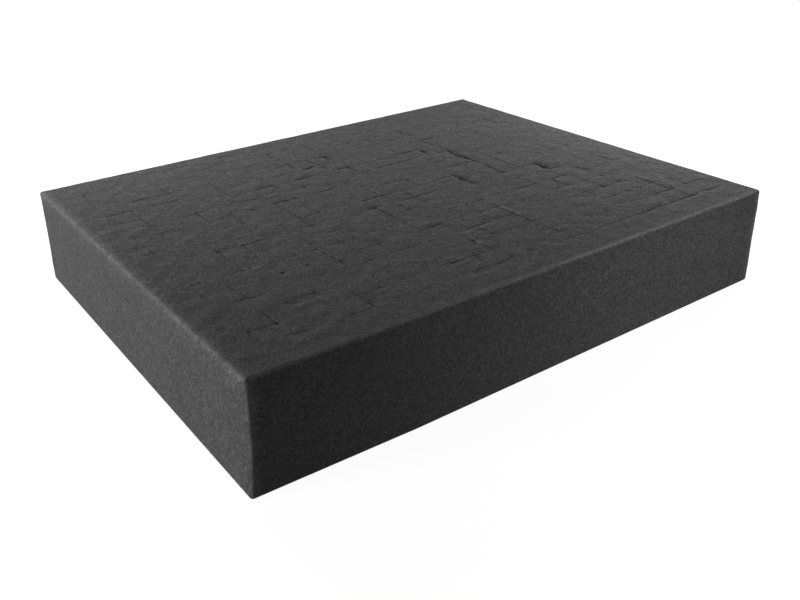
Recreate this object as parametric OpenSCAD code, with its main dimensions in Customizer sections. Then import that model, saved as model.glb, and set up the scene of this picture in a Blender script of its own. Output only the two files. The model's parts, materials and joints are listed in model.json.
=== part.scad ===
// Pick and pluck foam insert: a slab of soft open-cell foam with a grid of knife slits
// in its top. The slits leave square pillars that are pulled out one by one, to make a
// nest for what the case carries. They stop short of the underside and of the sides, so
// the slab with all its pillars is one piece of foam with a plain border round the top.
// Millimetres. +X runs along the long side, +Y from the front to the back and +Z up.
// The origin is the middle of the underside.

/* [Slab] */
// Length of the slab, along X
slab_length = 345; // [150:1:600]
// Width of the slab, along Y
slab_width = 275; // [120:1:450]
// Height of the slab at its border
slab_height = 60; // [25:1:120]
// Rounding of the slab's cut edges
edge_radius = 1.8; // [0.4:0.1:4]

/* [Slits] */
// Distance from one slit to the next
slit_pitch = 14.3; // [10:0.1:25]
// Gap that the knife leaves
slit_gap = 0.4; // [0.2:0.05:1]
// Foam left uncut under the slits
base_thickness = 10; // [3:0.5:15]
// Uncut border along the left side
left_border = 19; // [8:0.5:40]
// Uncut border along the front
front_border = 19.5; // [8:0.5:40]
// Least uncut border along the right side and the back
least_border = 11; // [8:0.5:40]

/* [Pillars] */
// Most that a pillar's top stands above or below the border
pillar_unevenness = 0.5; // [0:0.1:2]

/* [Hidden] */
$fn = 48;

foam_colour = "#4c4c4c";

columns = floor((slab_length - left_border - least_border) / slit_pitch);
rows = floor((slab_width - front_border - least_border) / slit_pitch);
pillar_side = slit_pitch - slit_gap;

// Middle of the slits that bound the first column and the first row
first_slit_x = left_border - slab_length / 2;
first_slit_y = front_border - slab_width / 2;

// A number from -1 to 1 for each pillar, scattered but the same each time
function scatter(column, row) =
    let (spread = 43758.5453 * sin(12.9898 * column + 78.233 * row))
    2 * (spread - floor(spread)) - 1;

// A pillar's own rise: most stay close to the border's level and a few stand out
function pillar_rise(column, row) = pillar_unevenness * pow(scatter(column, row), 3);

// Rectangle round the origin with rounded corners
module rounded_rectangle(size, radius) {
    square([size.x - 2 * radius, size.y], center = true);
    square([size.x, size.y - 2 * radius], center = true);
    for (x = [-1, 1], y = [-1, 1])
        translate([x * (size.x / 2 - radius), y * (size.y / 2 - radius)])
            circle(radius);
}

// The slab before it is slit: its three outlines, each cut right through
module slab() {
    intersection() {
        linear_extrude(slab_height)
            rounded_rectangle([slab_length, slab_width], edge_radius);
        translate([0, slab_width / 2, slab_height / 2])
            rotate([90, 0, 0])
                linear_extrude(slab_width)
                    rounded_rectangle([slab_length, slab_height], edge_radius);
        translate([-slab_length / 2, 0, slab_height / 2])
            rotate([90, 0, 90])
                linear_extrude(slab_length)
                    rounded_rectangle([slab_width, slab_height], edge_radius);
    }
}

// The space that all the pillars share, with a slit's gap left at the border
module diced_field() {
    translate([first_slit_x - slit_gap / 2, first_slit_y - slit_gap / 2, base_thickness])
        cube([columns * slit_pitch + slit_gap, rows * slit_pitch + slit_gap, slab_height]);
}

// One pillar, rooted halfway into the uncut base
module pillar(column, row) {
    root = base_thickness / 2;
    top = slab_height + pillar_rise(column, row);
    translate([
        first_slit_x + column * slit_pitch + slit_gap / 2,
        first_slit_y + row * slit_pitch + slit_gap / 2,
        root
    ])
        cube([pillar_side, pillar_side, top - root]);
}

module foam_insert() {
    color(foam_colour)
        union() {
            difference() {
                slab();
                diced_field();
            }
            for (column = [0 : columns - 1], row = [0 : rows - 1])
                pillar(column, row);
        }
}

foam_insert();
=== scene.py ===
"""Looks of the pick and pluck foam insert: a slab of diced charcoal foam on a pale studio floor."""

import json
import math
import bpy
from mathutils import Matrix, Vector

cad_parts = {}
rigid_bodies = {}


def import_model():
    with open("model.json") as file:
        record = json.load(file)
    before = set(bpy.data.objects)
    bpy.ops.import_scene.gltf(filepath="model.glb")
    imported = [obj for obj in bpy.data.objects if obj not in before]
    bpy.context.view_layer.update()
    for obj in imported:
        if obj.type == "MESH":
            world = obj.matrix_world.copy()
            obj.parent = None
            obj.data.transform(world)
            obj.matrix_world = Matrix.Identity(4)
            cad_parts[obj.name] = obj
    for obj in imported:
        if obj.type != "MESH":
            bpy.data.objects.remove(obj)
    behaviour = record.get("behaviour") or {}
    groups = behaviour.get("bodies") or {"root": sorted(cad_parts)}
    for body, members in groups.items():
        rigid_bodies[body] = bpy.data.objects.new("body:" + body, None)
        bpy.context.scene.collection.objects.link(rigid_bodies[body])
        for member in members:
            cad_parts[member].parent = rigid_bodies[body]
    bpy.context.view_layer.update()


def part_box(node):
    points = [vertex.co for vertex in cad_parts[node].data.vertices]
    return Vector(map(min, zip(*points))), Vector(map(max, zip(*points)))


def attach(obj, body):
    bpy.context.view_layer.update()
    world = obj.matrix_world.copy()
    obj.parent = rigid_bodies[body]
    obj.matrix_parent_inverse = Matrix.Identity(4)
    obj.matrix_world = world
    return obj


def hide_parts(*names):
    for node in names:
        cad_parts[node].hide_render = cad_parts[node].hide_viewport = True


bl_info = {
    "name": "Pick and Pluck Foam Insert",
    "version": (1, 0, 0),
    "blender": (4, 5, 0),
    "location": "3D View > Sidebar > Foam Insert",
    "description": "Builds the diced foam slab over its solid and sets it in a plain studio",
    "category": "Object",
}

import bpy
import numpy as np
from bpy.props import FloatProperty, FloatVectorProperty, IntProperty, PointerProperty
from mathutils import Matrix, Vector

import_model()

MM = 0.001
SOLID = "foam_insert"
SLAB_LOW, SLAB_HIGH = (np.array(corner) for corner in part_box(SOLID))

# Straight stretches along one side of a pillar's top
LIP_STRETCHES = 8
# How far the line next to a pillar's edge lies from it, as a share of the rim
LIP_LINE = 0.09
# Lines that round off the slab's edges, as shares of the radius: on the edge, halfway, at the end
EDGE_SHARES = (0.0, 0.45, 1.0)
# Level lines round the slab's sides, and strips of faces across its border
SIDE_LINES = 14
BORDER_STRIPS = 5
# Points closer than this are welded into one
WELD = 0.001 * MM
# How much of the cut faces' wander goes along X, Y and Z
WANDER_SHARES = (1.0, 1.0, 0.3)
# How far in from its sides the slab moves with them, as a share of the border
SIDE_REACH = 0.8

# Slits that stand open, counted from the left or the front. Each has where it opens and closes,
# in pillars along it, its widest gap in mm, and how far along it is widest.
OPEN_BETWEEN_COLUMNS = (
    (0, 0.2, 1.0, 0.2, 0.5),
    (0, 3.0, 5.4, 0.3, 0.5),
    (0, 8.0, 10.8, 0.3, 0.6),
    (0, 14.0, 15.2, 0.2, 0.5),
    (1, 0.1, 2.0, 0.5, 0.7),
    (1, 3.0, 4.0, 0.3, 0.5),
    (1, 11.2, 13.2, 0.5, 0.6),
    (1, 13.4, 15.2, 0.3, 0.5),
    (2, 6.0, 8.0, 0.55, 0.4),
    (2, 12.0, 13.1, 0.4, 0.5),
    (3, 5.8, 7.2, 0.3, 0.6),
    (3, 9.2, 11.2, 0.6, 0.8),
    (3, 14.0, 15.2, 0.8, 0.5),
    (4, 9.0, 10.1, 0.5, 0.6),
    (5, 3.0, 4.1, 0.7, 0.5),
    (5, 5.0, 6.0, 0.4, 0.5),
    (5, 7.0, 8.0, 0.7, 0.5),
    (5, 11.4, 14.3, 0.5, 0.5),
    (6, 3.9, 6.0, 0.4, 0.4),
    (6, 6.1, 9.2, 0.7, 0.6),
    (6, 9.3, 11.0, 0.4, 0.6),
    (7, 11.0, 12.2, 0.9, 0.7),
    (9, 0.1, 1.0, 0.6, 0.5),
    (9, 3.9, 5.8, 0.5, 0.6),
    (9, 5.9, 7.1, 0.9, 0.3),
    (9, 10.0, 11.0, 0.5, 0.4),
    (9, 13.2, 14.2, 0.9, 0.5),
    (9, 14.8, 16.4, 0.8, 0.6),
    (10, 8.0, 9.0, 0.6, 0.5),
    (10, 12.0, 13.1, 0.8, 0.6),
    (11, 6.0, 8.0, 0.7, 0.4),
    (11, 11.0, 12.2, 1.2, 0.7),
    (11, 13.1, 14.1, 2.0, 0.7),
    (11, 15.0, 16.2, 0.8, 0.5),
    (12, 8.0, 9.1, 0.8, 0.6),
    (14, 6.0, 7.0, 1.2, 0.7),
    (14, 6.7, 8.2, 2.2, 0.6),
    (14, 14.0, 15.0, 1.1, 0.5),
    (15, 11.0, 12.1, 1.7, 0.6),
    (16, 6.6, 8.6, 0.9, 0.5),
    (16, 8.5, 11.2, 2.2, 0.6),
    (16, 12.0, 13.2, 0.8, 0.6),
    (16, 13.9, 15.3, 1.4, 0.6),
    (18, 5.9, 7.1, 2.8, 0.5),
    (19, 4.0, 6.1, 0.5, 0.6),
    (19, 12.0, 13.0, 0.5, 0.5),
    (21, 13.0, 14.1, 0.8, 0.5),
)
OPEN_BETWEEN_ROWS = (
    (0, 12.0, 17.4, 0.2, 0.8),
    (0, 16.6, 19.0, 0.6, 0.4),
    (0, 18.6, 22.0, 0.8, 0.5),
    (1, 8.0, 10.1, 0.5, 0.3),
    (1, 18.9, 20.2, 0.6, 0.5),
    (2, 17.0, 18.1, 0.3, 0.5),
    (3, 0.1, 2.1, 0.3, 0.5),
    (3, 6.9, 8.0, 0.3, 0.5),
    (3, 10.0, 12.1, 0.3, 0.5),
    (3, 17.0, 19.0, 0.4, 0.4),
    (4, 9.0, 10.2, 0.5, 0.4),
    (4, 11.9, 13.1, 0.45, 0.5),
    (4, 16.0, 17.1, 0.55, 0.5),
    (5, 15.0, 16.1, 0.5, 0.4),
    (5, 16.9, 18.6, 0.5, 0.4),
    (6, 6.0, 7.2, 0.5, 0.4),
    (6, 14.9, 16.0, 0.5, 0.5),
    (6, 18.0, 19.1, 0.5, 0.5),
    (7, 8.0, 9.1, 0.3, 0.6),
    (7, 10.0, 12.9, 0.4, 0.6),
    (7, 17.0, 18.0, 0.3, 0.5),
    (8, 5.9, 7.0, 0.3, 0.4),
    (8, 8.9, 11.2, 0.5, 0.3),
    (8, 12.0, 14.1, 0.4, 0.6),
    (9, 10.9, 12.1, 0.3, 0.5),
    (9, 14.0, 16.0, 0.3, 0.4),
    (9, 17.0, 18.1, 0.3, 0.5),
    (10, 0.2, 2.1, 0.15, 0.5),
    (10, 6.0, 7.1, 0.7, 0.4),
    (10, 8.0, 9.1, 0.4, 0.5),
    (11, 2.0, 3.1, 0.3, 0.7),
    (11, 4.9, 6.0, 0.5, 0.4),
    (11, 7.0, 8.1, 0.3, 0.6),
    (11, 11.0, 13.0, 0.5, 0.4),
    (11, 13.0, 14.6, 0.5, 0.4),
    (11, 15.0, 16.1, 0.5, 0.5),
    (12, 6.0, 7.1, 0.8, 0.6),
    (12, 8.0, 9.1, 0.85, 0.5),
    (12, 10.0, 11.1, 0.8, 0.6),
    (12, 13.9, 15.9, 0.7, 0.3),
    (13, 0.1, 1.1, 0.25, 0.5),
    (13, 9.0, 10.1, 0.9, 0.5),
    (13, 15.2, 17.0, 0.3, 0.7),
    (14, 1.0, 3.0, 0.25, 0.3),
    (14, 8.2, 9.0, 1.1, 0.7),
    (14, 10.1, 11.0, 0.85, 0.7),
    (16, 3.9, 5.2, 0.3, 0.5),
    (16, 5.9, 7.1, 0.4, 0.5),
    (16, 13.9, 15.0, 0.3, 0.5),
)
# How far they are opened, as a share of those gaps
OPENNESS = 0.55
# How blunt their ends are: 1 is a plain arc, and less is blunter
BLUNTNESS = 0.7
# How ragged their lips are, and how far these sink as a share of the gap
RAGGEDNESS = 3.5
LIP_FALL = 0.8
# How abruptly a closed slit gapes where it does
GAPING = 3 * RAGGEDNESS
# Worn corners: the seed of their scatter, how rare deep wear is, and its reach as a share of the rim
WEAR_SEED = 7
WEAR_RARITY = 5
WEAR_REACH = 0.8
# Painted highlight along the slab's frayed upper edges: by which side, how much, and how far in mm
# over and down
RIM_FUZZ_HIGHLIGHT = (
    ("left", 0.22, 6.0, 3.0),
    ("left", 0.04, 9.0, 14.0),
    ("front", 1.0, 2.5, 1.2),
    ("right", 0.27, 2.5, 1.2),
    ("back", 0.2, 2.5, 1.2),
)
# The same painted highlight for the upright edges, over the end and over the front or back
UPRIGHT_FUZZ_HIGHLIGHT = (0.3, 5.0, 1.2)
# Share of that painted highlight that comes and goes along an edge
FUZZ_HIGHLIGHT_CHANGE = 0.25
# Strength of the painted edge highlight from which the grain of an edge is evened out in full
CALM_FUZZ_HIGHLIGHT = 0.22
# How far up a face looks, from 0 to 1, from which it is finished as the top is
TOP_FACING = 0.7
# Slits with one side that stands proud and catches the light, the right one or the near one.
# Each has where it starts and ends, in pillars along it, and the lift in mm.
PROUD_BETWEEN_COLUMNS = (
    (10, 1.0, 3.0, 0.6),
    (10, 6.0, 7.0, 0.5),
    (10, 8.0, 9.0, 0.5),
    (10, 13.0, 14.0, 0.5),
    (11, 2.0, 3.0, 0.5),
    (12, 3.0, 4.2, 0.8),
    (13, 1.0, 5.0, 0.6),
    (17, 4.0, 5.0, 0.5),
    (17, 7.0, 9.0, 0.5),
    (20, 1.0, 3.0, 0.5),
    (21, 5.0, 6.2, 0.5),
)
PROUD_BETWEEN_ROWS = (
    (0, 20.0, 21.0, 0.4),
    (1, 11.0, 15.0, 0.4),
    (11, 0.1, 1.0, 0.4),
    (11, 6.0, 7.0, 0.5),
    (11, 14.0, 15.0, 0.4),
    (12, 4.0, 5.0, 0.4),
    (12, 15.0, 16.0, 0.4),
)
# How strong the painted highlight on such a proud lip is at most, and how far from the slit, as a
# share of the rim
PROUD_FUZZ_HIGHLIGHT = 0.09
PROUD_LIP = 0.3


def linear(hex_colour):
    """Linear red, green and blue of an sRGB hex colour."""
    parts = [int(hex_colour[k : k + 2], 16) / 255 for k in (1, 3, 5)]
    return tuple(p / 12.92 if p <= 0.04045 else ((p + 0.055) / 1.055) ** 2.4 for p in parts)


class FoamSlabSettings(bpy.types.PropertyGroup):
    """Sizes of the slab and of the pillars between its slits."""

    height: FloatProperty(
        name="Height", description="Height of the slab at its border",
        default=60 * MM, unit="LENGTH",
    )
    edge_radius: FloatProperty(
        name="Edge rounding", description="Rounding of the slab's cut edges",
        default=1.8 * MM, unit="LENGTH",
    )
    columns: IntProperty(name="Columns", description="Pillars along the long side", default=22)
    rows: IntProperty(name="Rows", description="Pillars along the short side", default=17)
    pitch: FloatProperty(
        name="Pitch", description="Distance from one slit to the next",
        default=14.3 * MM, unit="LENGTH",
    )
    slit_gap: FloatProperty(
        name="Slit gap", description="Gap that a closed knife cut leaves",
        default=0.008 * MM, unit="LENGTH",
    )
    base: FloatProperty(
        name="Base", description="Foam left uncut under the slits",
        default=10 * MM, unit="LENGTH",
    )
    left_border: FloatProperty(
        name="Left border", description="Uncut border along the left side",
        default=19 * MM, unit="LENGTH",
    )
    front_border: FloatProperty(
        name="Front border", description="Uncut border along the front",
        default=19.5 * MM, unit="LENGTH",
    )
    lip_depth: FloatProperty(
        name="Lip depth", description="How far down the slits are ragged",
        default=4 * MM, unit="LENGTH",
    )
    pillar_edge: FloatProperty(
        name="Pillar edge", description="Rounding of a pillar's top edge",
        default=0.05 * MM, unit="LENGTH",
    )
    pillar_rim: FloatProperty(
        name="Pillar rim", description="Width of the rim that sinks beside a slit",
        default=3 * MM, unit="LENGTH",
    )
    rim_fall: FloatProperty(
        name="Rim fall", description="How far a pillar's rim sinks all round",
        default=0.07 * MM, unit="LENGTH",
    )
    slack: FloatProperty(
        name="Slack", description="How far a closed slit gapes here and there",
        default=0.03 * MM, unit="LENGTH",
    )
    corner_wear: FloatProperty(
        name="Corner wear", description="Most that a pillar's corner is worn away",
        default=0.3 * MM, unit="LENGTH",
    )
    corner_rise: FloatProperty(
        name="Corner rise", description="How far the slab's front left corner stands above level",
        default=1.5 * MM, unit="LENGTH",
    )
    corner_draw: FloatProperty(
        name="Corner draw", description="How far that corner is drawn back at the floor",
        default=2.4 * MM, unit="LENGTH",
    )
    foot_spread: FloatProperty(
        name="Foot spread", description="How far the left end spreads at the floor",
        default=1.1 * MM, unit="LENGTH",
    )
    unevenness: FloatProperty(
        name="Unevenness", description="Most that a pillar stands above or below the border",
        default=0.08 * MM, unit="LENGTH",
    )
    tilt: FloatProperty(
        name="Tilt", description="Most that a pillar's top leans out of level",
        default=math.radians(0.35), subtype="ANGLE",
    )
    wave: FloatProperty(
        name="Wave", description="How far the cut faces wander from flat",
        default=0.8 * MM, unit="LENGTH",
    )
    slit_wave: FloatProperty(
        name="Slit wave", description="How far the slits wander from straight",
        default=4 * MM, unit="LENGTH",
    )
    wave_size: FloatProperty(
        name="Wave size", description="Length over which the cut faces wander",
        default=11 * MM, unit="LENGTH",
    )
    tear_size: FloatProperty(
        name="Tear size", description="Length of the ragged tears along an open slit",
        default=5 * MM, unit="LENGTH",
    )


class FoamFinishSettings(bpy.types.PropertyGroup):
    """Colour, pores and painted edge highlight of the foam."""

    colour: FloatVectorProperty(
        name="Foam", description="Colour of the foam's struts in plain light",
        default=linear("#4c4c4c"), size=3, subtype="COLOR",
    )
    pore_size: FloatProperty(
        name="Pore size", description="Width of one pore as it is drawn",
        default=0.8 * MM, unit="LENGTH",
    )
    pore_depth: FloatProperty(
        name="Pore depth", description="How deep the pores look",
        default=0.4 * MM, unit="LENGTH",
    )
    pore_strength: FloatProperty(
        name="Pore strength", description="How strongly the pores catch the light", default=0.3,
    )
    swell_size: FloatProperty(
        name="Swell size", description="Length of the faint swells on the cut faces",
        default=9 * MM, unit="LENGTH",
    )
    swell_height: FloatProperty(
        name="Swell height", description="How high those swells look",
        default=0.9 * MM, unit="LENGTH",
    )
    side_swell: FloatProperty(
        name="Side swell", description="Height of the swells on the sides, as a share", default=0.3,
    )
    top_calm: FloatProperty(
        name="Calm of the top", description="How far the grain is evened out on the top",
        default=0.12,
    )
    side_calm: FloatProperty(
        name="Calm of the sides", description="How far the grain is evened out on the sides",
        default=0.35,
    )
    fuzz_highlight_calm: FloatProperty(
        name="Calm of the fuzz", description="How far the grain is evened out on frayed edges",
        default=0.75,
    )
    # Painted highlight: the colour is this many times paler where an edge's highlight is strongest
    fuzz_highlight_level: FloatProperty(
        name="Fuzz", description="How many times as pale the most frayed edge is", default=7.0,
    )


class StageSettings(bpy.types.PropertyGroup):
    """The floor and its light."""

    floor_level: FloatProperty(
        name="Floor", description="How white the floor looks near the slab", default=0.95,
    )
    floor_near: FloatProperty(
        name="Floor near", description="How far from the middle the floor starts to whiten",
        default=0.25, unit="LENGTH",
    )
    floor_far: FloatProperty(
        name="Floor far", description="How far from the middle the floor is all white",
        default=0.4, unit="LENGTH",
    )
    floor_size: FloatProperty(
        name="Floor size", description="Length of the floor's sides",
        default=8.0, unit="LENGTH",
    )
    paper: FloatProperty(
        name="Paper", description="Share of the light that the floor gives back", default=0.3,
    )
    lamp_level: FloatProperty(name="Lamps", description="Strength of all the lamps", default=1.0)


def add_node(tree, kind, inputs=None, **settings):
    """New node of a tree with its settings. Inputs are values, or sockets to link."""
    node = tree.nodes.new(kind)
    for name, value in settings.items():
        setattr(node, name, value)
    for socket, value in (inputs or {}).items():
        if isinstance(value, bpy.types.NodeSocket):
            tree.links.new(value, node.inputs[socket])
        else:
            node.inputs[socket].default_value = value
    return node


def ring(low, high, steps_x, steps_y, z):
    """Points round a rectangle at one height, anticlockwise from its low corner."""
    x = low[0] + (high[0] - low[0]) * steps_x
    y = low[1] + (high[1] - low[1]) * steps_y
    front = [(value, low[1], z) for value in x[:-1]]
    right = [(high[0], value, z) for value in y[:-1]]
    back = [(value, high[1], z) for value in x[:0:-1]]
    left = [(low[0], value, z) for value in y[:0:-1]]
    return np.array(front + right + back + left)


def even_steps(count):
    """Shares from 0 to 1 in equal steps."""
    return np.linspace(0, 1, count + 1)


def cornered_steps(count, length, radius):
    """Shares from 0 to 1 in equal steps, but for the lines that a rounded corner needs."""
    corner = np.array(EDGE_SHARES) * radius / length
    middle = np.linspace(corner[-1], 1 - corner[-1], count - 2 * len(corner) + 3)
    return np.concatenate([corner[:-1], middle, 1 - corner[-2::-1]])


def rounded_box(points, low, high, radius):
    """Points of a sharp box, moved onto the same box with rounded edges."""
    inner = np.clip(points, low + radius, high - radius)
    outward = points - inner
    return inner + radius * outward / np.linalg.norm(outward, axis=1, keepdims=True)


def mesh_of_rings(name, rings):
    """Mesh whose faces join each ring to the next and close the last one."""
    faces = []
    start = 0
    for here, following in zip(rings, rings[1:]):
        count = len(here)
        fineness = len(following) // count
        after = start + count
        for k in range(count):
            near = [start + (k + 1) % count, start + k]
            far = [after + (k * fineness + m) % len(following) for m in range(fineness + 1)]
            faces.append(near + far)
        start = after
    faces.append(list(range(start, start + len(rings[-1])))[::-1])
    mesh = bpy.data.meshes.new(name)
    mesh.from_pydata(np.vstack(rings).tolist(), [], faces)
    return mesh


def lip_lines(s):
    """How far the lines along a slit's lip lie from the slit and below the top."""
    edge = s.pillar_edge
    return (0.0, edge), (edge, 0.0), (LIP_LINE * s.pillar_rim, 0.0), (s.pillar_rim, 0.0)


def pillar_mesh(s):
    """One pillar round the origin with its share of the slit's floor, open at the outer rim."""
    foot = (s.pitch - s.slit_gap) / 2
    corners, fine = even_steps(1), even_steps(LIP_STRETCHES)
    profile = [
        (s.pitch / 2, s.base, corners),
        (foot, s.base, corners),
        (foot, s.height - s.lip_depth, corners),
    ]
    profile += [(foot - back, s.height - drop, fine) for back, drop in lip_lines(s)]
    rings = [ring((-half, -half), (half, half), steps, steps, z) for half, z, steps in profile]
    mesh = mesh_of_rings("pillar", rings)
    # The rings run inwards here and outwards on the border, so these faces are turned over
    mesh.flip_normals()
    return mesh


def field_corners(s):
    """Low and high corner of the diced field, at the middle of its outer slits."""
    low = SLAB_LOW[:2] + (s.left_border, s.front_border)
    return low, low + (s.columns * s.pitch, s.rows * s.pitch)


def slab_box(s):
    """Low and high corner of the slab, without the pillars that stand above its border."""
    return np.array((*SLAB_LOW[:2], 0.0)), np.array((*SLAB_HIGH[:2], s.height))


def border_mesh(s):
    """The uncut border, the sides and the underside, from the outer slit's floor outwards."""
    low, high = field_corners(s)
    pillars = np.array((s.columns, s.rows))
    corners = [even_steps(count) for count in pillars]
    fine = [even_steps(count) for count in pillars * LIP_STRETCHES]
    half_gap = s.slit_gap / 2
    rings = [ring(low, high, *corners, s.base)]
    for z in (s.base, s.height - s.lip_depth):
        rings.append(ring(low - half_gap, high + half_gap, *corners, z))
    for back, drop in lip_lines(s):
        out = half_gap + back
        rings.append(ring(low - out, high + out, *fine, s.height - drop))

    box_low, box_high = slab_box(s)
    radius = s.edge_radius
    snug = [
        cornered_steps(count, length, radius)
        for count, length in zip(pillars * LIP_STRETCHES, (box_high - box_low)[:2])
    ]
    ends = [share * radius for share in EDGE_SHARES]
    side_rows = np.linspace(s.height - 2 * radius, 2 * radius, SIDE_LINES)
    outline = [(inset, s.height) for inset in (2 * radius, *ends[::-1])]
    outline += [(0.0, s.height - drop) for drop in ends[1:]]
    outline += [(0.0, z) for z in side_rows]
    outline += [(0.0, z) for z in ends[::-1]]
    outline += [(inset, 0.0) for inset in (*ends[1:], 2 * radius)]
    outer = []
    for inset, z in outline:
        sharp = ring(box_low[:2] + inset, box_high[:2] - inset, *snug, z)
        outer.append(rounded_box(sharp, box_low, box_high, radius))

    inner_rim, outer_rim = rings[-1], outer[0]
    for share in even_steps(BORDER_STRIPS)[1:-1]:
        rings.append(inner_rim + (outer_rim - inner_rim) * share)
    return mesh_of_rings("border", rings + outer)


def scatter(column, row):
    """A number from -1 to 1 for each pillar, scattered in the same way as in the part's source."""
    spread = 43758.5453 * np.sin(np.radians(12.9898 * column + 78.233 * row))
    return 2 * (spread - np.floor(spread)) - 1


def pillar_points(s):
    """Mesh with a point at each pillar's middle, which holds how that pillar stands."""
    column, row = (axis.ravel() for axis in np.mgrid[0 : s.columns, 0 : s.rows])
    low, _ = field_corners(s)
    middle = np.zeros((column.size, 3))
    middle[:, 0] = low[0] + (column + 0.5) * s.pitch
    middle[:, 1] = low[1] + (row + 0.5) * s.pitch
    rise = np.zeros_like(middle)
    rise[:, 2] = s.unevenness * scatter(column, row) ** 3
    tilt = np.zeros_like(middle)
    tilt[:, 0] = math.tan(s.tilt) * scatter(column + 31, row + 7)
    tilt[:, 1] = math.tan(s.tilt) * scatter(column + 5, row + 43)
    mesh = bpy.data.meshes.new("pillar_points")
    mesh.from_pydata(middle.tolist(), [], [])
    for name, values in (("middle", middle), ("rise", rise), ("tilt", tilt)):
        attribute = mesh.attributes.new(name, "FLOAT_VECTOR", "POINT")
        attribute.data.foreach_set("vector", values.ravel())
    return mesh


def diced_foam_tree():
    """Geometry nodes that set a pillar on every point, weld them to the border and unsettle them."""
    tree = bpy.data.node_groups.new("diced_foam", "GeometryNodeTree")
    for name, kind in (
        ("Border", "Geometry"), ("Pillar", "Object"), ("Points", "Object"),
        ("Base", "Float"), ("Height", "Float"), ("Corner", "Vector"), ("Inset", "Float"),
        ("Wave", "Float"), ("Slit wave", "Float"), ("Wave size", "Float"), ("Tears", "Float"),
        ("Foam", "Material"),
    ):
        tree.interface.new_socket(name, in_out="INPUT", socket_type="NodeSocket" + kind)
    tree.interface.new_socket("Slab", in_out="OUTPUT", socket_type="NodeSocketGeometry")
    given = add_node(tree, "NodeGroupInput").outputs

    pillar = add_node(tree, "GeometryNodeObjectInfo", {"Object": given["Pillar"]})
    points = add_node(tree, "GeometryNodeObjectInfo", {"Object": given["Points"]})
    placed = add_node(tree, "GeometryNodeInstanceOnPoints", {
        "Points": points.outputs["Geometry"], "Instance": pillar.outputs["Geometry"],
    })
    pillars = add_node(tree, "GeometryNodeRealizeInstances", {"Geometry": placed.outputs[0]})
    joined = add_node(tree, "GeometryNodeJoinGeometry", {"Geometry": given["Border"]})
    tree.links.new(pillars.outputs[0], joined.inputs["Geometry"])
    welded = add_node(tree, "GeometryNodeMergeByDistance", {
        "Geometry": joined.outputs[0], "Distance": WELD,
    })

    place = add_node(tree, "GeometryNodeInputPosition").outputs[0]
    tearing = add_node(tree, "ShaderNodeTexNoise", {
        "Vector": place, "Scale": given["Tears"], "Detail": 1.0,
    })
    kept = welded
    for name, value in (("still", place), ("ragged", tearing.outputs["Color"])):
        kept = add_node(
            tree, "GeometryNodeStoreNamedAttribute",
            {"Geometry": kept.outputs[0], "Name": name, "Value": value}, data_type="FLOAT_VECTOR",
        )

    # A pillar's own rise and tilt grow from nothing at the slit's floor to all of it at the top
    middle, rise, tilt = (
        add_node(
            tree, "GeometryNodeInputNamedAttribute", {"Name": name}, data_type="FLOAT_VECTOR"
        ).outputs["Attribute"]
        for name in ("middle", "rise", "tilt")
    )
    aside = add_node(tree, "ShaderNodeVectorMath", {0: place, 1: middle}, operation="SUBTRACT")
    slope = add_node(
        tree, "ShaderNodeVectorMath", {0: aside.outputs[0], 1: tilt}, operation="DOT_PRODUCT"
    )
    level = add_node(tree, "ShaderNodeCombineXYZ", {"Z": slope.outputs["Value"]})
    lift = add_node(tree, "ShaderNodeVectorMath", {0: level.outputs[0], 1: rise})
    height = add_node(tree, "ShaderNodeSeparateXYZ", {0: place})
    share = add_node(tree, "ShaderNodeMapRange", {
        "Value": height.outputs["Z"], "From Min": given["Base"], "From Max": given["Height"],
    })
    lifted = add_node(
        tree, "ShaderNodeVectorMath",
        {0: lift.outputs[0], "Scale": share.outputs[0]}, operation="SCALE",
    )
    uneven = add_node(tree, "GeometryNodeSetPosition", {
        "Geometry": kept.outputs[0], "Offset": lifted.outputs[0],
    })

    # The slits wander more than the sides, and the underside lies flat
    density = add_node(tree, "ShaderNodeMath", {0: 1.0, 1: given["Wave size"]}, operation="DIVIDE")
    noise = add_node(tree, "ShaderNodeTexNoise", {
        "Vector": place, "Scale": density.outputs[0], "Detail": 2.0, "Roughness": 0.6,
    })
    centred = add_node(
        tree, "ShaderNodeVectorMath",
        {0: noise.outputs["Color"], 1: (0.5, 0.5, 0.5)}, operation="SUBTRACT",
    )
    flattened = add_node(
        tree, "ShaderNodeVectorMath",
        {0: centred.outputs[0], 1: WANDER_SHARES}, operation="MULTIPLY",
    )
    outward = add_node(tree, "ShaderNodeVectorMath", {0: place}, operation="ABSOLUTE")
    inward = add_node(
        tree, "ShaderNodeVectorMath", {0: given["Corner"], 1: outward.outputs[0]},
        operation="SUBTRACT",
    )
    inward = add_node(tree, "ShaderNodeSeparateXYZ", {0: inward.outputs[0]})
    inset = add_node(
        tree, "ShaderNodeMath", {0: inward.outputs["X"], 1: inward.outputs["Y"]},
        operation="MINIMUM",
    )
    reach = add_node(tree, "ShaderNodeMapRange", {
        "Value": inset.outputs[0], "From Max": given["Inset"],
        "To Min": given["Wave"], "To Max": given["Slit wave"],
    })
    raised = add_node(tree, "ShaderNodeMapRange", {
        "Value": height.outputs["Z"], "From Max": given["Base"], "To Max": reach.outputs[0],
    })
    wander = add_node(
        tree, "ShaderNodeVectorMath",
        {0: flattened.outputs[0], "Scale": raised.outputs[0]}, operation="SCALE",
    )
    waved = add_node(tree, "GeometryNodeSetPosition", {
        "Geometry": uneven.outputs[0], "Offset": wander.outputs[0],
    })
    finished = add_node(tree, "GeometryNodeSetMaterial", {
        "Geometry": waved.outputs[0], "Material": given["Foam"],
    })
    add_node(tree, "NodeGroupOutput", {"Slab": finished.outputs[0]})
    return tree


def lens(place, start, end, widest):
    """How open a slit is at each place along it, from 0 at its ends to 1 where it is widest."""
    along = np.clip((place - start) / (end - start), 0, 1)
    # This power moves the middle of the arc to the widest place
    along **= math.log(0.5) / math.log(widest)
    return np.sin(np.pi * along) ** BLUNTNESS


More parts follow.
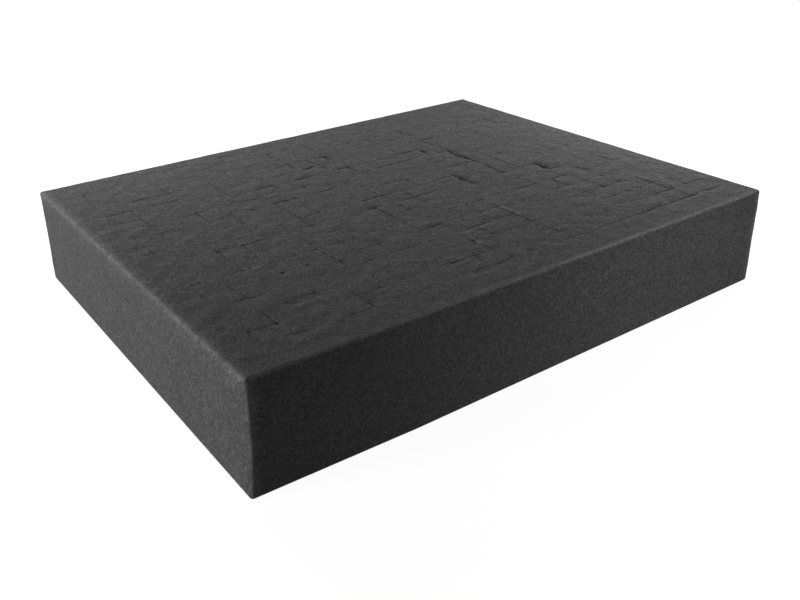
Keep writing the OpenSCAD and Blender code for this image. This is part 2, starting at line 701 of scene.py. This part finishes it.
def rim_fuzz_highlight(still, s):
    """How strong the painted highlight is at each point by the slab's frayed upper and upright
    edges, from 0 to 1.
    """
    box_low, box_high = slab_box(s)
    left, front, _ = (still - box_low).T
    right, back, below = (box_high - still).T
    insets = {"left": left, "front": front, "right": right, "back": back}
    edges = [(insets[side], below, *rest) for side, *rest in RIM_FUZZ_HIGHLIGHT]
    edges.append((np.minimum(left, right), np.minimum(front, back), *UPRIGHT_FUZZ_HIGHLIGHT))
    return np.max([
        amount * np.clip(1 - np.maximum(over / (reach_over * MM), down / (reach_down * MM)), 0, 1)
        for over, down, amount, reach_over, reach_down in edges
    ], axis=0)


def settle(place, still, s):
    """Moves the slab a little out of square, as soft foam lies: most at its front left corner."""
    low, high = slab_box(s)
    near_left, near_front, near_floor = np.clip(1 - (still - low) / (high - low), 0, 1).T
    place[:, 2] += s.corner_rise * near_left * near_front * (1 - near_floor)

    # Only the lower half moves here: out along the left end, and back by the front left corner
    foot = np.clip(2 * near_floor - 1, 0, 1)
    corner = np.clip(4 * near_left - 3, 0, 1)
    reach = SIDE_REACH * np.array((s.left_border, s.front_border))
    at_left, at_front = np.clip(1 - (still - low)[:, :2] / reach, 0, 1).T
    place[:, 0] -= s.foot_spread * foot * at_left * (1 + near_front) / 2
    place[:, 1] += s.corner_draw * foot * at_front * corner


def places_by_slits(still, s):
    """Each point's column and row in pillars, how far up the slits it is, and if it is on top."""
    low, _ = field_corners(s)
    column, row = ((still[:, :2] - low) / s.pitch).T
    share = np.clip((still[:, 2] - s.base) / (s.height - s.base), 0, 1)
    return column, row, share, still[:, 2] > s.height - s.lip_depth / 2


def loosen(place, still, ragged, s):
    """Sinks every rim a little, parts closed slits here and there, and wears some corners away."""
    column, row, share, at_top = places_by_slits(still, s)
    grid = np.stack((column, row), axis=1)
    pillars = np.array((s.columns, s.rows))
    slits = np.clip(np.round(grid), 0, pillars).astype(int)
    beside = grid - slits
    # A slit that runs towards the border ends there, so it moves nothing on the border
    beyond = (grid < 0) | (grid > pillars)
    beside[~beyond & beyond[:, ::-1]] = 1
    from_slit = np.abs(beside) * s.pitch

    gaping = np.clip(GAPING * (ragged[:, 2] - 0.5), 0, 2)
    parted = s.slack * share * gaping
    near = np.clip(1 - 2 * np.abs(beside), 0, 1)
    wear = np.random.default_rng(WEAR_SEED).random(pillars + 1) ** WEAR_RARITY
    wear = s.corner_wear * at_top * wear[slits[:, 0], slits[:, 1]]
    wear *= np.clip(1 - np.hypot(*from_slit.T) / (WEAR_REACH * s.pillar_rim), 0, 1)
    place[:, :2] += np.sign(beside) * (near * parted[:, None] / 2 + wear[:, None])
    rim = np.clip(1 - from_slit.min(axis=1) / s.pillar_rim, 0, 1) ** 2
    place[:, 2] -= at_top * rim * s.rim_fall * gaping + wear


def open_slits(place, still, torn, s):
    """Draws back the sides of each slit that stands open, and lets its lips sink."""
    column, row, share, at_top = places_by_slits(still, s)
    openings = [(0, column - slit, row, *rest) for slit, *rest in OPEN_BETWEEN_COLUMNS]
    openings += [(1, row - slit, column, *rest) for slit, *rest in OPEN_BETWEEN_ROWS]
    for across, beside, along, start, end, gap, widest in openings:
        far_side = beside > 0
        moved = lens(along, start, end, widest) * share * gap * MM * OPENNESS
        moved *= np.where(far_side, torn[:, 0], torn[:, 1])
        near = np.clip(1 - np.abs(beside), 0, 1)
        place[:, across] += np.sign(beside) * near * moved / 2
        sunk = np.clip(1 - np.abs(beside) * s.pitch / s.pillar_rim, 0, 1) ** 2
        place[:, 2] -= LIP_FALL * moved * sunk * at_top
        # Between rows, the far side also stands a little higher and shows as a dark wall
        if across == 1:
            place[:, 2] += far_side * near * moved / 2


def raise_proud_sides(place, still, torn, s):
    """Lifts the sides that stand proud, and gives the painted highlight on their lips at each point.
    """
    column, row, share, _ = places_by_slits(still, s)
    proud_sides = [(column - slit, row, *rest) for slit, *rest in PROUD_BETWEEN_COLUMNS]
    proud_sides += [(slit - row, column, *rest) for slit, *rest in PROUD_BETWEEN_ROWS]
    fuzz = np.zeros(len(place))
    for beside, along, start, end, lift in proud_sides:
        near = np.where(beside > 0, np.clip(1 - beside, 0, 1), 0)
        proud = lens(along, start, end, 0.5) * near * share * torn[:, 0]
        place[:, 2] += proud * lift * MM
        at_lip = beside * s.pitch < PROUD_LIP * s.pillar_rim
        fuzz = np.maximum(fuzz, PROUD_FUZZ_HIGHLIGHT * proud * at_lip)
    return fuzz


def vectors(mesh, name):
    """The vectors that an attribute holds for the mesh's points."""
    values = np.zeros((len(mesh.vertices), 3))
    mesh.attributes[name].data.foreach_get("vector", values.ravel())
    return values


def wear_slab(mesh, s):
    """Opens the new slab's slits, sets it out of square and marks the painted highlight of its
    frayed edges.
    """
    place, still, ragged = (vectors(mesh, name) for name in ("position", "still", "ragged"))
    # The noise lies round a half, and becomes a factor round 1
    torn = np.clip(1 + RAGGEDNESS * (ragged - 0.5), 0, 2)
    loosen(place, still, ragged, s)
    open_slits(place, still, torn, s)
    lip_fuzz_highlight = raise_proud_sides(place, still, torn, s)
    settle(place, still, s)
    mesh.vertices.foreach_set("co", place.ravel())

    # Painted highlight of frayed edges and proud lips, kept for the colour to pale by
    edge_fuzz_highlight = rim_fuzz_highlight(still, s) * (1 - FUZZ_HIGHLIGHT_CHANGE + FUZZ_HIGHLIGHT_CHANGE * torn[:, 0])
    fuzz = np.maximum(edge_fuzz_highlight, lip_fuzz_highlight)
    mesh.attributes.new("fuzz", "FLOAT", "POINT").data.foreach_set("value", fuzz)
    for name in ("still", "ragged", "middle", "rise", "tilt"):
        mesh.attributes.remove(mesh.attributes[name])


def charcoal_foam(s):
    """Charcoal open-cell polyurethane foam, cut with a blade.

    Cut cells give the eye a fine, dull grain of dark pits between lighter struts, with no gloss,
    a painted highlight where frayed struts catch the light at the edges, and a few painted glints of
    struts as specks.
    """
    material = bpy.data.materials.new("charcoal_polyurethane_foam")
    material.use_nodes = True
    tree = material.node_tree
    tree.nodes.clear()
    coordinates = add_node(tree, "ShaderNodeTexCoord").outputs
    place = coordinates["Object"]

    # Each layer: its texture, the size of its pattern, what it reads, and the shade that it gives.
    # Real pores are 0.5 mm wide; they are drawn coarser, so that they show.
    voronoi, noise = "ShaderNodeTexVoronoi", "ShaderNodeTexNoise"
    layers = (
        (voronoi, s.pore_size, "Distance", (0.1, 0.8), (0.65, 1.35)),
        (voronoi, 1.25 * s.pore_size, "Color", (0.2, 0.8), (0.4, 1.6)),
        (noise, 1.4 * MM, "Fac", (0.3, 0.7), (0.75, 1.25)),
        (noise, 5 * MM, "Fac", (0.3, 0.7), (0.92, 1.08)),
        (noise, 25 * MM, "Fac", (0.3, 0.7), (0.94, 1.06)),
        (voronoi, 5 * MM, "Distance", (0.06, 0.16), (0.5, 1.0)),
        # Painted glints: sparse pale specks stand for struts that catch the light
        (voronoi, 3.6 * MM, "Distance", (0.07, 0.16), (2.2, 1.0)),
    )
    grain = 1.0
    patterns = []
    for kind, size, output, (lowest, highest), (least, most) in layers:
        pattern = add_node(tree, kind, {"Vector": place, "Scale": 1 / size})
        patterns.append(pattern)
        part = add_node(tree, "ShaderNodeMapRange", {
            "Value": pattern.outputs[output], "From Min": lowest, "From Max": highest,
            "To Min": least, "To Max": most,
        })
        grain = add_node(
            tree, "ShaderNodeMath", {0: grain, 1: part.outputs[0]}, operation="MULTIPLY"
        ).outputs[0]
    pores = patterns[0]

    # The sides are cut more cleanly than the top, and the frayed rim is paled as a painted highlight
    # of loose struts catching the light
    facing = add_node(tree, "ShaderNodeSeparateXYZ", {0: coordinates["Normal"]})
    clean = add_node(tree, "ShaderNodeMapRange", {
        "Value": facing.outputs["Z"], "From Max": TOP_FACING,
        "To Min": s.side_calm, "To Max": s.top_calm,
    })
    fuzz = add_node(tree, "ShaderNodeAttribute", attribute_name="fuzz").outputs["Fac"]
    highlight_calm = add_node(tree, "ShaderNodeMapRange", {
        "Value": fuzz, "From Max": CALM_FUZZ_HIGHLIGHT, "To Max": s.fuzz_highlight_calm,
    })
    calm = add_node(
        tree, "ShaderNodeMath", {0: clean.outputs[0], 1: highlight_calm.outputs[0]}, operation="MAXIMUM"
    )
    calmed = add_node(tree, "ShaderNodeMix", {"Factor": calm.outputs[0], "A": grain, "B": 1.0})
    # Painted highlight: the colour is paled along frayed edges and proud lips
    pale = add_node(tree, "ShaderNodeMapRange", {
        "Value": fuzz, "To Min": 1.0, "To Max": s.fuzz_highlight_level,
    })
    shade = add_node(
        tree, "ShaderNodeMath",
        {0: calmed.outputs[0], 1: pale.outputs[0]}, operation="MULTIPLY",
    )
    colour = add_node(
        tree, "ShaderNodeVectorMath",
        {0: tuple(s.colour), "Scale": shade.outputs[0]}, operation="SCALE",
    )

    # Faint swells, stronger on the top than on the sides, and the pores on them
    swells = add_node(tree, "ShaderNodeTexNoise", {
        "Vector": place, "Scale": 1 / s.swell_size, "Detail": 1.0,
    })
    swelling = add_node(tree, "ShaderNodeMapRange", {
        "Value": facing.outputs["Z"], "From Max": TOP_FACING,
        "To Min": s.side_swell, "To Max": 1.0,
    })
    swollen = add_node(tree, "ShaderNodeBump", {
        "Height": swells.outputs["Fac"], "Strength": swelling.outputs[0],
        "Distance": s.swell_height,
    })
    bump = add_node(tree, "ShaderNodeBump", {
        "Height": pores.outputs["Distance"], "Strength": s.pore_strength,
        "Distance": s.pore_depth, "Normal": swollen.outputs[0],
    })
    foam = add_node(tree, "ShaderNodeBsdfPrincipled", {
        "Base Color": colour.outputs[0], "Normal": bump.outputs[0],
        "Roughness": 0.95, "IOR": 1.5, "Specular IOR Level": 0.2,
        "Sheen Weight": 0.1, "Sheen Roughness": 0.6,
    })
    add_node(tree, "ShaderNodeOutputMaterial", {"Surface": foam.outputs[0]})
    return material


def seen_by_eye(tree):
    """Socket that is 1 for the rays that the eye follows, and 0 for those that carry light."""
    rays = add_node(tree, "ShaderNodeLightPath").outputs
    seen = rays["Is Camera Ray"]
    for kind in ("Is Glossy Ray", "Is Transmission Ray"):
        seen = add_node(
            tree, "ShaderNodeMath", {0: seen, 1: rays[kind]}, operation="MAXIMUM"
        ).outputs[0]
    return seen


def studio_floor(s):
    """Matt pale studio paper: near white to the eye, with the soft shadow that lies on it."""
    material = bpy.data.materials.new("pale_studio_paper")
    material.use_nodes = True
    tree = material.node_tree
    tree.nodes.clear()
    paper = add_node(tree, "ShaderNodeBsdfDiffuse", {"Color": (s.paper, s.paper, s.paper, 1.0)})
    place = add_node(tree, "ShaderNodeTexCoord").outputs["Object"]
    away = add_node(tree, "ShaderNodeVectorMath", {0: place}, operation="LENGTH")
    level = add_node(tree, "ShaderNodeMapRange", {
        "Value": away.outputs["Value"], "From Min": s.floor_near, "From Max": s.floor_far,
        "To Min": s.floor_level, "To Max": 1.0,
    })
    strength = add_node(
        tree, "ShaderNodeMath", {0: seen_by_eye(tree), 1: level.outputs[0]}, operation="MULTIPLY"
    )
    glow = add_node(tree, "ShaderNodeEmission", {
        "Color": (1.0, 1.0, 1.0, 1.0), "Strength": strength.outputs[0],
    })
    both = add_node(tree, "ShaderNodeAddShader", {0: paper.outputs[0], 1: glow.outputs[0]})
    add_node(tree, "ShaderNodeOutputMaterial", {"Surface": both.outputs[0]})
    return material


def studio_room():
    """World that is white behind the floor and gives the slab no light."""
    world = bpy.data.worlds.new("studio_room")
    world.use_nodes = True
    tree = world.node_tree
    tree.nodes.clear()
    sky = add_node(tree, "ShaderNodeBackground", {
        "Color": (1.0, 1.0, 1.0, 1.0), "Strength": seen_by_eye(tree),
    })
    add_node(tree, "ShaderNodeOutputWorld", {"Surface": sky.outputs[0]})
    return world


# Soft boxes: where each stands and what it faces, in metres, its side, and its power in watts
SOFT_BOXES = {
    "left_soft_box": ((-1.8, 0.3, 0.2), (0.0, 0.0, 0.03), 0.4, 22.6),
    "back_soft_box": ((-0.13, 0.4, 0.25), (-0.15, 0.1, 0.06), 0.2, 0.98),
    "right_soft_box": ((0.35, 0.015, 0.13), (0.08, 0.0, 0.04), 0.2, 0.66),
    "front_soft_box": ((0.115, -0.35, 0.06), (0.065, -0.14, 0.03), 0.1, 0.219),
}


def soft_box(name, place, target, side, power):
    """Square area lamp that faces a point and isn't seen itself."""
    lamp = bpy.data.lights.new(name, "AREA")
    lamp.shape = "SQUARE"
    lamp.size = side
    lamp.energy = power
    holder = bpy.data.objects.new(name, lamp)
    holder.location = place
    aim = Vector(target) - Vector(place)
    holder.rotation_euler = aim.to_track_quat("-Z", "Y").to_euler()
    holder.visible_camera = False
    bpy.context.scene.collection.objects.link(holder)
    return holder


# The camera: where it stands, how it is turned, and its lens
CAMERA_PLACE = (-0.2967, -0.4133, 0.2511)
CAMERA_AXIS = (0.5214, 0.742, -0.4214)
CAMERA_UP = (0.2618, 0.3309, 0.9066)
CAMERA_LENS = 39.97
CAMERA_SHIFT = (0.0185, -0.0524)


def photo_camera():
    """Camera at the photograph's viewing angle."""
    camera = bpy.data.cameras.new("photo_camera")
    camera.lens = CAMERA_LENS
    camera.shift_x, camera.shift_y = CAMERA_SHIFT
    camera.clip_start = 0.01
    holder = bpy.data.objects.new("photo_camera", camera)
    axis = Vector(CAMERA_AXIS).normalized()
    right = axis.cross(Vector(CAMERA_UP)).normalized()
    up = right.cross(axis)
    turn = Matrix((right, up, -axis)).transposed().to_4x4()
    holder.matrix_world = Matrix.Translation(CAMERA_PLACE) @ turn
    bpy.context.scene.collection.objects.link(holder)
    bpy.context.scene.camera = holder


def run_nodes(tree, item, values, context):
    """Runs a tree of geometry nodes on an object, and keeps what it makes as the object's mesh."""
    modifier = item.modifiers.new(tree.name, "NODES")
    modifier.node_group = tree
    for socket in tree.interface.items_tree:
        if socket.name in values:
            modifier[socket.identifier] = values[socket.name]
    shaped = item.evaluated_get(context.evaluated_depsgraph_get())
    mesh = bpy.data.meshes.new_from_object(shaped)
    mesh.name = item.name
    item.modifiers.clear()
    item.data = mesh


class FOAM_OT_slab(bpy.types.Operator):
    """Build the diced slab in place of its plain solid"""

    bl_idname = "foam_insert.slab"
    bl_label = "Diced foam slab"

    def execute(self, context):
        s = context.scene.foam_slab
        scene_objects = context.scene.collection.objects
        pillar = bpy.data.objects.new("pillar", pillar_mesh(s))
        points = bpy.data.objects.new("pillar_points", pillar_points(s))
        slab = bpy.data.objects.new("diced_foam", border_mesh(s))
        for item in (pillar, points, slab):
            scene_objects.link(item)
        run_nodes(diced_foam_tree(), slab, {
            "Pillar": pillar, "Points": points, "Base": s.base, "Height": s.height,
            "Corner": slab_box(s)[1], "Inset": SIDE_REACH * min(s.left_border, s.front_border),
            "Wave": s.wave, "Slit wave": s.slit_wave, "Wave size": s.wave_size,
            "Tears": 1 / s.tear_size, "Foam": charcoal_foam(context.scene.foam_finish),
        }, context)
        for item in (pillar, points):
            bpy.data.objects.remove(item)
        wear_slab(slab.data, s)
        slab.data.shade_smooth()
        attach(slab, "root")
        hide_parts(SOLID)
        return {"FINISHED"}


class FOAM_OT_stage(bpy.types.Operator):
    """Lay the floor and set the lamps and the camera"""

    bl_idname = "foam_insert.stage"
    bl_label = "Studio stage"

    def execute(self, context):
        s = context.scene.foam_stage
        half = s.floor_size / 2
        mesh = bpy.data.meshes.new("studio_floor")
        corners = [(-half, -half, 0), (half, -half, 0), (half, half, 0), (-half, half, 0)]
        mesh.from_pydata(corners, [], [(0, 1, 2, 3)])
        mesh.materials.append(studio_floor(s))
        floor = bpy.data.objects.new("studio_floor", mesh)
        context.scene.collection.objects.link(floor)
        for name, (place, target, side, power) in SOFT_BOXES.items():
            soft_box(name, place, target, side, power * s.lamp_level)
        context.scene.world = studio_room()
        context.scene.view_settings.view_transform = "Standard"
        photo_camera()
        return {"FINISHED"}


class FOAM_PT_insert(bpy.types.Panel):
    """Sizes, finish and stage of the foam insert."""

    bl_idname = "FOAM_PT_insert"
    bl_label = "Foam Insert"
    bl_space_type = "VIEW_3D"
    bl_region_type = "UI"
    bl_category = "Foam Insert"

    def draw(self, context):
        scene = context.scene
        for group, operator in (
            (scene.foam_slab, FOAM_OT_slab),
            (scene.foam_finish, None),
            (scene.foam_stage, FOAM_OT_stage),
        ):
            box = self.layout.box()
            for name in group.__annotations__:
                box.prop(group, name)
            if operator:
                box.operator(operator.bl_idname)


CLASSES = (
    FoamSlabSettings, FoamFinishSettings, StageSettings,
    FOAM_OT_slab, FOAM_OT_stage, FOAM_PT_insert,
)


def register():
    for item in CLASSES:
        bpy.utils.register_class(item)
    bpy.types.Scene.foam_slab = PointerProperty(type=FoamSlabSettings)
    bpy.types.Scene.foam_finish = PointerProperty(type=FoamFinishSettings)
    bpy.types.Scene.foam_stage = PointerProperty(type=StageSettings)


def unregister():
    del bpy.types.Scene.foam_stage
    del bpy.types.Scene.foam_finish
    del bpy.types.Scene.foam_slab
    for item in reversed(CLASSES):
        bpy.utils.unregister_class(item)


def main():
    register()
    bpy.ops.foam_insert.slab()
    bpy.ops.foam_insert.stage()


if __name__ == "__main__":
    main()
